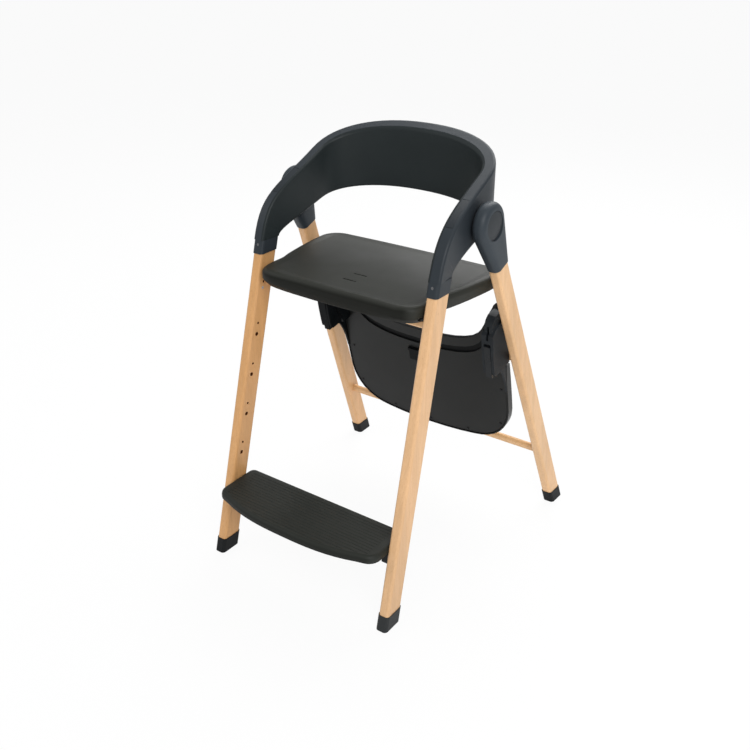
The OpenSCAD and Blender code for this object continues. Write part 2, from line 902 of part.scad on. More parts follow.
module front_leg_right() { front_leg(); }
module front_leg_left() { mirror([1, 0, 0]) front_leg(); }
module front_foot_cap_right() { front_foot_cap(); }
module front_foot_cap_left() { mirror([1, 0, 0]) front_foot_cap(); }
module leg_socket_right() { leg_socket(); }
module leg_socket_left() { mirror([1, 0, 0]) leg_socket(); }
module arm_cover_right() { arm_cover(); }
module arm_cover_left() { mirror([1, 0, 0]) arm_cover(); }
module hub_plate_right() { hub_plate(); }
module hub_plate_left() { mirror([1, 0, 0]) hub_plate(); }
module pivot_bolt_right() { pivot_bolt(); }
module pivot_bolt_left() { mirror([1, 0, 0]) pivot_bolt(); }
module hub_housing_right() { hub_housing(); }
module hub_housing_left() { mirror([1, 0, 0]) hub_housing(); }
module hub_button_right() { hub_button(); }
module hub_button_left() { mirror([1, 0, 0]) hub_button(); }
module rear_leg_right() { rear_leg(); }
module rear_leg_left() { mirror([1, 0, 0]) rear_leg(); }
module rear_foot_cap_right() { rear_foot_cap(); }
module rear_foot_cap_left() { mirror([1, 0, 0]) rear_foot_cap(); }
module seat_bracket_right() { seat_bracket(); }
module seat_bracket_left() { mirror([1, 0, 0]) seat_bracket(); }
module footrest_bracket_right() { footrest_bracket(); }
module footrest_bracket_left() { mirror([1, 0, 0]) footrest_bracket(); }
module tray_latch_right() { tray_latch(); }
module tray_latch_left() { mirror([1, 0, 0]) tray_latch(); }
module tray_lever_right() { tray_lever(); }
module tray_lever_left() { mirror([1, 0, 0]) tray_lever(); }
module tray_hanger_right() { tray_hanger(); }
module tray_hanger_left() { mirror([1, 0, 0]) tray_hanger(); }

stand() front_leg_left();
stand() front_leg_right();
stand() front_foot_cap_left();
stand() front_foot_cap_right();
stand() leg_socket_left();
stand() leg_socket_right();
stand() socket_screws();
stand() hoop_outer_shell();
stand() hoop_inner_shell();
stand() arm_cover_left();
stand() arm_cover_right();
stand() hub_plate_left();
stand() hub_plate_right();
stand() pivot_bolt_left();
stand() pivot_bolt_right();
stand() seat_plate();
stand() seat_bracket_left();
stand() seat_bracket_right();
stand() seat_pins();
stand() seat_rail();
stand() footrest_plate();
stand() footrest_bracket_left();
stand() footrest_bracket_right();
stand() footrest_pins();
stand() rear_leg_left();
stand() rear_leg_right();
stand() rear_foot_cap_left();
stand() rear_foot_cap_right();
stand() hub_housing_left();
stand() hub_housing_right();
stand() lower_crossbar();
stand() upper_crossbar();
stand() tray_hanger_left();
stand() tray_hanger_right();
stand() hub_button_left();
stand() hub_button_right();
stand() tray_shell();
stand() tray_base();
stand() tray_latch_left();
stand() tray_latch_right();
stand() tray_clip();
stand() tray_screws();
stand() tray_lever_left();
stand() tray_lever_right();
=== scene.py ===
"""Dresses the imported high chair.

Beech bars, moulded charcoal plastics, gloss black tray parts and a pale studio.
"""

import json
import math

import bmesh
import bpy
from bpy.props import FloatProperty, FloatVectorProperty, IntProperty, PointerProperty
from mathutils import Matrix, Vector

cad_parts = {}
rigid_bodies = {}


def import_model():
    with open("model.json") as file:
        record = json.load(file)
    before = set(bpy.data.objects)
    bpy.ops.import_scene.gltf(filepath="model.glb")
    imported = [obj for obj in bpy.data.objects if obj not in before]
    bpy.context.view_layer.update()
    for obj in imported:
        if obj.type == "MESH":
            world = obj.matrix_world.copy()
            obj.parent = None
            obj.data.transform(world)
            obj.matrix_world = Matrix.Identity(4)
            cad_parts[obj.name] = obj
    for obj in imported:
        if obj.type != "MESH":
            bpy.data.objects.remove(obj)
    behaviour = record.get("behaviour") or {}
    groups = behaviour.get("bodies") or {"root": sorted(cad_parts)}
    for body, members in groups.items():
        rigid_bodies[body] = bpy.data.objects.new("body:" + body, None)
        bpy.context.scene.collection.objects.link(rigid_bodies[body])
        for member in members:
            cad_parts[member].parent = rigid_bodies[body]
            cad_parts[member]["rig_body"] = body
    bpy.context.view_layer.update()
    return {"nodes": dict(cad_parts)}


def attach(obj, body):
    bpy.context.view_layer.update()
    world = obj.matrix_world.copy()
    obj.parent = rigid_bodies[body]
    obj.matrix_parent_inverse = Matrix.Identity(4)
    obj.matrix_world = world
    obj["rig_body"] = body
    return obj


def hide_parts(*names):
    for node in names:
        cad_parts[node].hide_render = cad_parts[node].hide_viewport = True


bl_info = {
    "name": "Folding high chair",
    "version": (1, 0, 0),
    "blender": (4, 5, 0),
    "location": "View3D > Sidebar > High chair",
    "description": "Builds the looks of a folding beech high chair over its packed solids",
    "category": "Object",
}

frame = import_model()
nodes = frame["nodes"]
SIDES = ("left", "right")
SIGNS = {"left": -1, "right": 1}

# Legs: how far they lean and splay, half a bar's thickness, and where the front feet stand.
FRONT_LEAN = math.radians(14.5)
FRONT_SPLAY = math.radians(0.84)
REAR_LEAN = math.radians(-21.9)
BAR_HALF = 0.011
FRONT_FOOT_X = 0.210
FRONT_FOOT_Y = -0.273

# Larger peg holes, in a front leg's own frame: their line, first row, step and number of rows.
PEG_LINE_Y = -0.0055
PEG_FIRST = 0.137
PEG_STEP = 0.0847
PEG_ROWS = 5

# A point this near a hole's middle and this near the leg's face is on the hole's mouth, and how far
# such a mouth is widened.
PEG_REACH = 0.0032
SURFACE_GAP = 0.0004
MOUTH_SHARE = 0.35

# Faces inside the holes lie this near the leg's middle line, between these heights.
BORE_SIDE = 0.015
BORE_SPAN = (0.1, 0.66)

# Seat rail: how far its underside is raised, and which points belong to the underside.
RAIL_LIFT = 0.0035
RAIL_UNDERSIDE = 0.557

# Stored tray: its tilt, a point on its outer face, and the depths of the channel's floor below that face.
TRAY_TILT = math.radians(104.04)
TRAY_FACE = Vector((0.0, 0.143, 0.400))
CHANNEL_DEPTH = (-0.0062, -0.0012)

# A channel face is turned no further inwards than the first, the left wall further left than the second.
TURNED_IN = -0.3
TURNED_LEFT = -0.6

# Seat: how far its upper front corners are pushed out and forward, where that fades in from the
# middle, from the back and from below, and the share that is left low down.
CORNER_OUT = 0.0058
CORNER_FORWARD = 0.0115
CORNER_SIDE = (0.060, 0.165)
CORNER_FRONT = (0.082, 0.147)
CORNER_TOP = (0.570, 0.585)
CORNER_LOW = 0.4

# Shading: faces whose normals agree to this cosine are one flat region. The edge between a region
# over the wide area and a smaller one is kept crisp where it bends by more than the slight angle.
FLAT_COSINE = 0.999999
WIDE_AREA = 2.5e-4
SLIGHT_BEND = 0.02

# Rounded edges: only those sharper than this angle are rounded, and fine ones to this radius.
BEVEL_ANGLE = math.radians(34.0)
FINE_EDGE = 0.0003

# Floor: how far a plain glow takes the lit floor's place, as the camera sees it and as gloss reflects it.
FLOOR_SEEN = 0.93
FLOOR_REFLECTED = 0.45

# Lamps: their places and widths, and the point that all are turned to.
LAMPS = {
    "key": ((2.2, -1.9, 2.4), 2.0),
    "fill": ((-2.2, -1.5, 2.2), 2.0),
    "back": ((-0.3, 1.9, 2.6), 2.4),
}
LAMP_TARGET = Vector((0, 0, 0.45))


# --- properties -------------------------------------------------------------


class FinishSettings(bpy.types.PropertyGroup):
    """Colours and textures of the chair's materials."""

    beech: FloatVectorProperty(
        name="Beech", description="Main colour of the beech bars",
        subtype="COLOR", size=3, default=(0.79, 0.478, 0.228),
    )
    beech_dark: FloatVectorProperty(
        name="Beech grain", description="Darker grain of the beech",
        subtype="COLOR", size=3, default=(0.62, 0.330, 0.130),
    )
    band: FloatVectorProperty(
        name="Arm band", description="Outer shell of the arm and back band",
        subtype="COLOR", size=3, default=(0.024, 0.030, 0.036),
    )
    liner: FloatVectorProperty(
        name="Band liner", description="Inner shell of the arm and back band",
        subtype="COLOR", size=3, default=(0.015, 0.020, 0.021),
    )
    caps: FloatVectorProperty(
        name="Foot caps", description="Foot caps and hub discs",
        subtype="COLOR", size=3, default=(0.020, 0.022, 0.023),
    )
    seat: FloatVectorProperty(
        name="Seat", description="Seat plate",
        subtype="COLOR", size=3, default=(0.021, 0.022, 0.018),
    )
    footrest: FloatVectorProperty(
        name="Footrest", description="Footrest plate",
        subtype="COLOR", size=3, default=(0.019, 0.021, 0.0175),
    )
    tray: FloatVectorProperty(
        name="Tray", description="Tray body and underside panel",
        subtype="COLOR", size=3, default=(0.011, 0.0115, 0.011),
    )
    gloss: FloatVectorProperty(
        name="Latches", description="Gloss black latches and levers",
        subtype="COLOR", size=3, default=(0.006, 0.007, 0.008),
    )
    steel: FloatVectorProperty(
        name="Steel", description="Screws and pins",
        subtype="COLOR", size=3, default=(0.58, 0.58, 0.60),
    )
    grain_length: FloatProperty(
        name="Grain length", description="How far a grain streak is drawn out along a bar",
        default=24.0, min=4.0, max=60.0,
    )
    moulding: FloatProperty(
        name="Mould texture", description="Strength of the fine spark-eroded texture",
        default=0.10, min=0.0, max=1.0,
    )


class StageSettings(bpy.types.PropertyGroup):
    """Camera, floor and lights."""

    eye: FloatVectorProperty(
        name="Camera place", description="Where the camera stands",
        subtype="TRANSLATION", unit="LENGTH", size=3, default=(0.984, -1.3965, 1.220),
    )
    target: FloatVectorProperty(
        name="Camera target", description="What the camera looks at",
        subtype="TRANSLATION", unit="LENGTH", size=3, default=(0.0, -0.0205, 0.369),
    )
    lens: FloatProperty(
        name="Focal length", description="Focal length on a 36 mm wide sensor, in millimetres",
        default=44.35, min=20.0, max=120.0,
    )
    floor_size: FloatProperty(
        name="Floor", description="Width of the floor",
        unit="LENGTH", default=60.0, min=5.0, max=100.0,
    )
    sky: FloatProperty(
        name="Sky light", description="Strength of the even light all round",
        default=0.42, min=0.0, max=3.0,
    )
    key: FloatProperty(
        name="Key light", description="Power of the large lamp at the front right",
        unit="POWER", default=72.0, min=0.0, max=500.0,
    )
    fill: FloatProperty(
        name="Fill light", description="Power of the lamp at the front left",
        unit="POWER", default=14.0, min=0.0, max=500.0,
    )
    back: FloatProperty(
        name="Back light", description="Power of the soft lamp above and behind",
        unit="POWER", default=80.0, min=0.0, max=500.0,
    )


class EdgeSettings(bpy.types.PropertyGroup):
    """Edge rounding of the moulded and turned pieces."""

    moulded: FloatProperty(
        name="Moulded edges", description="Edge radius of the plastic mouldings",
        unit="LENGTH", default=0.0009, min=0.0, max=0.003,
    )
    small: FloatProperty(
        name="Small edges", description="Edge radius of small parts",
        unit="LENGTH", default=0.0004, min=0.0, max=0.002,
    )
    steps: IntProperty(
        name="Edge steps", description="Faces across a rounded edge",
        default=2, min=1, max=4,
    )


# --- materials --------------------------------------------------------------


def new_material(name):
    """An empty node material: (material, nodes, links, principled shader)."""
    mat = bpy.data.materials.new(name)
    mat.use_nodes = True
    tree = mat.node_tree
    tree.nodes.clear()
    out = tree.nodes.new("ShaderNodeOutputMaterial")
    shader = tree.nodes.new("ShaderNodeBsdfPrincipled")
    tree.links.new(shader.outputs["BSDF"], out.inputs["Surface"])
    return mat, tree.nodes, tree.links, shader


def object_coords(nds, lnk, scale=(1, 1, 1), turn=(0, 0, 0)):
    """Object coordinates through a Mapping node."""
    coords = nds.new("ShaderNodeTexCoord")
    mapping = nds.new("ShaderNodeMapping")
    mapping.inputs["Rotation"].default_value = turn
    mapping.inputs["Scale"].default_value = scale
    lnk.new(coords.outputs["Object"], mapping.inputs["Vector"])
    return mapping.outputs["Vector"]


def noise(nds, lnk, vector, scale, detail=4.0, rough=0.5):
    """A noise texture's factor."""
    tex = nds.new("ShaderNodeTexNoise")
    tex.inputs["Scale"].default_value = scale
    tex.inputs["Detail"].default_value = detail
    tex.inputs["Roughness"].default_value = rough
    lnk.new(vector, tex.inputs["Vector"])
    return tex.outputs["Fac"]


def span(nds, lnk, value, low, high, to_low=0.0, to_high=1.0):
    """Maps a value from one range to another and clamps it."""
    node = nds.new("ShaderNodeMapRange")
    node.inputs["From Min"].default_value = low
    node.inputs["From Max"].default_value = high
    node.inputs["To Min"].default_value = to_low
    node.inputs["To Max"].default_value = to_high
    lnk.new(value, node.inputs["Value"])
    return node.outputs["Result"]


def mix(nds, lnk, factor, a, b, blend="MIX"):
    """Mixes two colours, each a tuple or a socket, by the factor's socket."""
    node = nds.new("ShaderNodeMix")
    node.data_type = "RGBA"
    node.blend_type = blend
    lnk.new(factor, node.inputs[0])
    for socket, value in ((node.inputs[6], a), (node.inputs[7], b)):
        if isinstance(value, tuple):
            socket.default_value = (*value, 1.0)
        else:
            lnk.new(value, socket)
    return node.outputs[2]


def bump(nds, lnk, shader, height, strength, distance):
    """A bump node on the shader."""
    node = nds.new("ShaderNodeBump")
    node.inputs["Strength"].default_value = strength
    node.inputs["Distance"].default_value = distance
    lnk.new(height, node.inputs["Height"])
    lnk.new(node.outputs["Normal"], shader.inputs["Normal"])


def shade(colour, factor):
    """A colour made lighter or darker."""
    return tuple(min(1.0, max(0.0, c * factor)) for c in colour)


def beech(name, turn, light_tint=(1.0, 1.0, 1.0)):
    """Clear-lacquered beech whose colour is scaled by a tint that paints light and shade on the bar, its
    grain along the bar turned by these angles.
    """
    fin = bpy.context.scene.chair_finish
    mat, nds, lnk, shader = new_material(name)
    length = fin.grain_length
    base = tuple(a * b for a, b in zip(fin.beech, light_tint))
    dark = tuple(a * b for a, b in zip(fin.beech_dark, light_tint))
    along = object_coords(nds, lnk, (1.0, 1.0, 1.0 / length), turn)
    flecks_along = object_coords(nds, lnk, (1.0, 1.0, 0.14), turn)
    broad = span(nds, lnk, noise(nds, lnk, along, 42.0, 3.0, 0.55), 0.34, 0.68)
    fine = span(nds, lnk, noise(nds, lnk, along, 420.0, 5.0, 0.6), 0.40, 0.66)
    colour = mix(nds, lnk, broad, shade(base, 1.06), shade(base, 0.90))
    fine_amount = span(nds, lnk, fine, 0.0, 1.0, 0.0, 0.32)
    colour = mix(nds, lnk, fine_amount, colour, dark)
    rays = span(nds, lnk, noise(nds, lnk, flecks_along, 900.0, 1.0, 0.4), 0.66, 0.74, 0.0, 0.42)
    colour = mix(nds, lnk, rays, colour, shade(dark, 0.72))
    warm = span(nds, lnk, noise(nds, lnk, along, 9.0, 2.0, 0.5), 0.35, 0.65)
    colour = mix(nds, lnk, warm, colour, (0.98, 0.955, 0.93), "MULTIPLY")
    lnk.new(colour, shader.inputs["Base Color"])
    lnk.new(span(nds, lnk, fine, 0.0, 1.0, 0.36, 0.48), shader.inputs["Roughness"])
    shader.inputs["Specular IOR Level"].default_value = 0.45
    shader.inputs["Coat Weight"].default_value = 0.12
    shader.inputs["Coat Roughness"].default_value = 0.32
    bump(nds, lnk, shader, fine, 0.10, 0.0004)
    return mat


def moulded(name, colour, rough=0.5, sheen=0.22, mottle=0.10, painted_shade=1.0):
    """Moulded plastic with a fine spark-eroded texture and a slow change of tone.

    Its last argument, when under 1, paints shade onto the faces that are turned neither up nor to the
    right, and lowers their sheen there.
    """
    fin = bpy.context.scene.chair_finish
    mat, nds, lnk, shader = new_material(name)
    here = object_coords(nds, lnk)
    tone = span(nds, lnk, noise(nds, lnk, here, 7.0, 3.0, 0.55), 0.30, 0.70)
    specks = noise(nds, lnk, here, 1500.0, 2.0, 0.6)
    shaded = mix(nds, lnk, tone, shade(colour, 1.0 + mottle), shade(colour, 1.0 - mottle))
    shaded = mix(nds, lnk, span(nds, lnk, specks, 0.35, 0.65, 0.0, 0.25), shaded, shade(colour, 1.35))
    shader.inputs["Specular IOR Level"].default_value = sheen
    # Painted shade: faces turned neither up nor to the right get a darker colour and less sheen.
    if painted_shade < 1.0:
        split = nds.new("ShaderNodeSeparateXYZ")
        lnk.new(nds.new("ShaderNodeNewGeometry").outputs["Normal"], split.inputs[0])
        larger = nds.new("ShaderNodeMath")
        larger.operation = "MAXIMUM"
        lnk.new(split.outputs["X"], larger.inputs[0])
        lnk.new(split.outputs["Z"], larger.inputs[1])
        unshaded_share = span(nds, lnk, larger.outputs[0], 0.25, 0.80)
        shaded = mix(nds, lnk, unshaded_share, shade(colour, painted_shade), shaded)
        lnk.new(span(nds, lnk, unshaded_share, 0.0, 1.0, sheen * painted_shade, sheen), shader.inputs["Specular IOR Level"])
    lnk.new(shaded, shader.inputs["Base Color"])
    lnk.new(span(nds, lnk, tone, 0.0, 1.0, rough - 0.04, rough + 0.05), shader.inputs["Roughness"])
    bump(nds, lnk, shader, specks, fin.moulding, 0.0003)
    return mat


def gloss(name, colour, rough=0.16, sheen=0.3):
    """Polished plastic with faint flow waves."""
    mat, nds, lnk, shader = new_material(name)
    here = object_coords(nds, lnk)
    waves = noise(nds, lnk, here, 60.0, 2.0, 0.5)
    wave = span(nds, lnk, waves, 0.3, 0.7)
    lnk.new(mix(nds, lnk, wave, shade(colour, 0.85), shade(colour, 1.25)), shader.inputs["Base Color"])
    lnk.new(span(nds, lnk, waves, 0.3, 0.7, rough, rough + 0.08), shader.inputs["Roughness"])
    shader.inputs["Specular IOR Level"].default_value = sheen
    bump(nds, lnk, shader, waves, 0.06, 0.0008)
    return mat


def metal(name, colour, rough=0.28):
    """Turned or plated steel with fine brushing."""
    mat, nds, lnk, shader = new_material(name)
    here = object_coords(nds, lnk, (1.0, 1.0, 8.0))
    brushed = noise(nds, lnk, here, 700.0, 3.0, 0.6)
    stroke = span(nds, lnk, brushed, 0.3, 0.7)
    lnk.new(mix(nds, lnk, stroke, shade(colour, 0.9), shade(colour, 1.08)), shader.inputs["Base Color"])
    lnk.new(span(nds, lnk, brushed, 0.3, 0.7, rough, rough + 0.1), shader.inputs["Roughness"])
    shader.inputs["Metallic"].default_value = 1.0
    bump(nds, lnk, shader, brushed, 0.05, 0.0002)
    return mat


# --- making pieces ----------------------------------------------------------


def merged_copy(node):
    """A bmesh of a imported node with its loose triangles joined."""
    bm = bmesh.new()
    bm.from_mesh(nodes[node].data)
    bmesh.ops.remove_doubles(bm, verts=bm.verts[:], dist=2e-6)
    return bm


def mark_edges(bm, smooth):
    """Smooths the curved runs and keeps wide flat faces flat up to their edges."""
    bm.normal_update()
    bm.faces.index_update()
    region = {}
    wide = {}
    for start in bm.faces:
        start.smooth = True
        if start.index in region:
            continue
        key = start.index
        region[key] = key
        todo = [start]
        area = 0.0
        while todo:
            face = todo.pop()
            area += face.calc_area()
            for edge in face.edges:
                for other in edge.link_faces:
                    if other.index not in region and other.normal.dot(start.normal) > FLAT_COSINE:
                        region[other.index] = key
                        todo.append(other)
        wide[key] = area > WIDE_AREA
    for edge in bm.edges:
        if len(edge.link_faces) != 2:
            continue
        a, b = (region[f.index] for f in edge.link_faces)
        bend = edge.calc_face_angle(0.0)
        rim = bend > SLIGHT_BEND and wide[a] != wide[b]
        edge.smooth = not (rim or bend > math.radians(smooth))


def finish_piece(bm, name, material, body, replaced, smooth, inner):
    """Turns a bmesh into a piece that rides on a body.

    An inner pair is a second material and a test of the faces that get it.
    """
    mesh = bpy.data.meshes.new(name)
    bmesh.ops.triangulate(bm, faces=[f for f in bm.faces if len(f.verts) > 4])
    mark_edges(bm, smooth)
    if inner:
        for face in bm.faces:
            face.material_index = 1 if inner[1](face) else 0
    bm.to_mesh(mesh)
    bm.free()
    piece = bpy.data.objects.new(name, mesh)
    bpy.context.scene.collection.objects.link(piece)
    mesh.materials.append(material)
    if inner:
        mesh.materials.append(inner[0])
    normals = piece.modifiers.new("normals", "WEIGHTED_NORMAL")
    normals.keep_sharp = True
    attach(piece, body)
    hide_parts(*replaced)
    return piece


def dress(node, name, material, edge=0.0, smooth=38.0, inner=None, move=None):
    """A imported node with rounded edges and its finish; move shifts its points first."""
    bm = merged_copy(node)
    if move:
        for vert in bm.verts:
            vert.co += move(vert.co)
    if edge > 0.0:
        sharp = [e for e in bm.edges if e.is_manifold and e.calc_face_angle(0.0) > BEVEL_ANGLE]
        if sharp:
            steps = bpy.context.scene.chair_edges.steps
            bmesh.ops.bevel(
                bm, geom=sharp, offset=edge, offset_type="OFFSET", segments=steps, profile=0.5,
                affect="EDGES", clamp_overlap=True, material=-1,
            )
    return finish_piece(bm, name, material, nodes[node]["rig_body"], (node,), smooth, inner)


def ramp(low, high, value):
    """A smooth step from 0 at low to 1 at high."""
    t = min(1.0, max(0.0, (value - low) / (high - low)))
    return t * t * (3.0 - 2.0 * t)


def seat_corner(co):
    """Fills out the upper front corners of the seat."""
    side = ramp(*CORNER_SIDE, abs(co.x))
    front = ramp(*CORNER_FRONT, -co.y)
    height = CORNER_LOW + (1.0 - CORNER_LOW) * ramp(*CORNER_TOP, co.z)
    amount = side * front * height
    return Vector((math.copysign(CORNER_OUT, co.x), -CORNER_FORWARD, 0.0)) * amount


def rail_underside(co):
    """Raises the underside of the seat rail."""
    return Vector((0.0, 0.0, RAIL_LIFT if co.z < RAIL_UNDERSIDE else 0.0))


def leg_frame(sign):
    """The turn into a front leg's own frame, and the middle of its foot."""
    turn = Matrix.Rotation(-FRONT_LEAN, 3, "X") @ Matrix.Rotation(-FRONT_SPLAY * sign, 3, "Y")
    return turn.transposed(), Vector((FRONT_FOOT_X * sign, FRONT_FOOT_Y, 0.0))


def chamfered_mouths(sign):
    """Widens the mouths of the larger peg holes of a front leg."""
    back, foot = leg_frame(sign)

    def move(co):
        spot = back @ (co - foot)
        row = round((spot.z - PEG_FIRST) / PEG_STEP)
        reach = Vector((0.0, spot.y - PEG_LINE_Y, spot.z - PEG_FIRST - PEG_STEP * row))
        on_face = abs(spot.x + BAR_HALF * sign) < SURFACE_GAP
        if 0 <= row < PEG_ROWS and on_face and reach.length < PEG_REACH:
            return back.transposed() @ (reach * MOUTH_SHARE)
        return Vector()

    return move


def bore_faces(sign):
    """A test for the faces inside the holes of a front leg."""
    back, foot = leg_frame(sign)

    def inside(face):
        spot = back @ (face.calc_center_median() - foot)
        within = abs(spot.x) < BAR_HALF - SURFACE_GAP and abs(spot.y) < BORE_SIDE
        return within and BORE_SPAN[0] < spot.z < BORE_SPAN[1]

    return inside


def channel_and_shaded_wall_faces(face):
    """The floor of the channel round the tray's panel, which is coloured near black, and the tray's left
    wall, whose near black is painted shade.
    """
    out = Vector((0.0, -math.sin(TRAY_TILT), math.cos(TRAY_TILT)))
    depth = (face.calc_center_median() - TRAY_FACE).dot(out)
    floor = CHANNEL_DEPTH[0] < depth < CHANNEL_DEPTH[1] and face.normal.dot(out) > TURNED_IN
    return floor or face.normal.x < TURNED_LEFT


# --- operators --------------------------------------------------------------


class HIGHCHAIR_OT_beech(bpy.types.Operator):
    """Finishes the four legs, two crossbars and the seat rail in lacquered beech"""

    bl_idname = "highchair.beech"
    bl_label = "Beech bars"

    def execute(self, context):
        # Painted shade: the insides of the peg holes get a dark, matt brown.
        bore, _, _, shader = new_material("beech_bore")
        shader.inputs["Base Color"].default_value = (0.085, 0.026, 0.007, 1.0)
        shader.inputs["Roughness"].default_value = 0.9
        shader.inputs["Specular IOR Level"].default_value = 0.1
        # Painted light and shade: the left bars are tinted darker and warmer, the right ones cooler, as the
        # light falls on each side.
        painted_light_tints = {"left": (0.87, 0.78, 0.66), "right": (0.98, 1.01, 1.12)}
        rear_painted_light_tints = {"left": (0.98, 0.97, 1.0), "right": (1.0, 1.05, 1.18)}
        for side, sign in SIGNS.items():
            grain = beech("beech_front_" + side, (FRONT_LEAN, 0.0, 0.02 * sign), painted_light_tints[side])
            dress(
                "front_leg_" + side, "beech_front_leg_" + side, grain,
                inner=(bore, bore_faces(sign)), move=chamfered_mouths(sign),
            )
            grain = beech("beech_rear_" + side, (REAR_LEAN, 0.067 * sign, 0.03 * sign), rear_painted_light_tints[side])
            dress("rear_leg_" + side, "beech_rear_leg_" + side, grain)
        cross = beech("beech_crossbar", (0.0, math.radians(90), 0.0))
        dress("lower_crossbar", "beech_lower_crossbar", cross)
        dress("upper_crossbar", "beech_upper_crossbar", cross)
        dress("seat_rail", "beech_seat_rail", cross, move=rail_underside)
        return {"FINISHED"}


class HIGHCHAIR_OT_feet(bpy.types.Operator):
    """Finishes the foot caps, the leg collars and their screws"""

    bl_idname = "highchair.feet"
    bl_label = "Feet and collars"

    def execute(self, context):
        fin = context.scene.chair_finish
        edges = context.scene.chair_edges
        # Painted shade: the left front cap and the rear caps get a darker colour and less sheen than the
        # right front cap.
        caps = {
            "left": moulded("cap_plastic_left", shade(fin.caps, 0.55), 0.52, sheen=0.12),
            "right": moulded("cap_plastic_right", fin.caps, 0.52, sheen=0.3),
        }
        rear_cap = moulded("cap_plastic_rear", shade(fin.caps, 0.6), 0.55, sheen=0.12)
        collar = moulded("collar_plastic", fin.band, 0.46)
        # Painted shade: the collar screws' steel is darkened to a third, which takes down their highlight.
        steel = metal("screw_steel", shade(fin.steel, 0.35), 0.4)
        for side in SIDES:
            dress("front_foot_cap_" + side, "front_cap_" + side, caps[side], edges.small)
            dress("rear_foot_cap_" + side, "rear_cap_" + side, rear_cap, edges.small)
            dress("leg_socket_" + side, "collar_" + side, collar, edges.small)
        dress("socket_screws", "collar_screws", steel, FINE_EDGE)
        return {"FINISHED"}


class HIGHCHAIR_OT_band(bpy.types.Operator):
    """Finishes the horseshoe arm and back band and its cover strips"""

    bl_idname = "highchair.band"
    bl_label = "Arm and back band"

    def execute(self, context):
        fin = context.scene.chair_finish
        shell = moulded("band_plastic", fin.band, 0.44)
        liner = moulded("liner_plastic", fin.liner, 0.46)
        cover = moulded("cover_plastic", shade(fin.band, 0.8), 0.42)
        dress("hoop_outer_shell", "band_outer", shell, smooth=34.0)
        dress("hoop_inner_shell", "band_inner", liner, smooth=34.0)
        for side in SIDES:
            dress("arm_cover_" + side, "arm_strip_" + side, cover, FINE_EDGE)
        return {"FINISHED"}


class HIGHCHAIR_OT_hubs(bpy.types.Operator):
    """Finishes the folding hubs: discs, bolts, housings and lock buttons"""

    bl_idname = "highchair.hubs"
    bl_label = "Folding hubs"

    def execute(self, context):
        fin = context.scene.chair_finish
        edges = context.scene.chair_edges
        disc = moulded("hub_disc_plastic", fin.caps, 0.5)
        # Painted light and shade: the housings are made lighter and the lock buttons darker than the band
        # colour they are taken from.
        housing = moulded("hub_housing_plastic", shade(fin.band, 1.4), 0.43)
        button = moulded("hub_button_plastic", shade(fin.band, 0.72), 0.42)
        steel = metal("bolt_steel", fin.steel)
        for side in SIDES:
            dress("hub_plate_" + side, "hub_disc_" + side, disc, edges.small)
            dress("pivot_bolt_" + side, "hub_bolt_" + side, steel, edges.small)
            dress("hub_housing_" + side, "hub_shell_" + side, housing, smooth=30.0)
            dress("hub_button_" + side, "lock_button_" + side, button, FINE_EDGE)
        return {"FINISHED"}


class HIGHCHAIR_OT_seat(bpy.types.Operator):
    """Finishes the seat plate, its brackets and pins"""

    bl_idname = "highchair.seat"
    bl_label = "Seat"

    def execute(self, context):
        fin = context.scene.chair_finish
        edges = context.scene.chair_edges
        # The seat's front and left faces get painted shade from the last argument.
        plate = moulded("seat_plastic", shade(fin.seat, 1.12), 0.47, mottle=0.06, painted_shade=0.46)
        black = moulded("bracket_plastic", fin.gloss, 0.4)
        steel = metal("pin_steel", fin.steel)
        dress("seat_plate", "seat_moulding", plate, move=seat_corner)
        for side in SIDES:
            dress("seat_bracket_" + side, "seat_carrier_" + side, black, edges.moulded)
        dress("seat_pins", "seat_pin_pair", steel, edges.small)
        return {"FINISHED"}


class HIGHCHAIR_OT_footrest(bpy.types.Operator):
    """Finishes the footrest plate, its brackets and pins"""

    bl_idname = "highchair.footrest"
    bl_label = "Footrest"

    def execute(self, context):
        fin = context.scene.chair_finish
        edges = context.scene.chair_edges
        # The footrest's front and left faces get painted shade from the last argument.
        plate = moulded("footrest_plastic", shade(fin.footrest, 1.1), 0.5, painted_shade=0.7)
        black = moulded("footrest_bracket_plastic", fin.gloss, 0.4)
        steel = metal("footrest_pin_steel", fin.steel)
        dress("footrest_plate", "footrest_moulding", plate)
        for side in SIDES:
            name = "footrest_carrier_" + side
            dress("footrest_bracket_" + side, name, black, edges.moulded)
        dress("footrest_pins", "footrest_pin_pair", steel, edges.small)
        return {"FINISHED"}


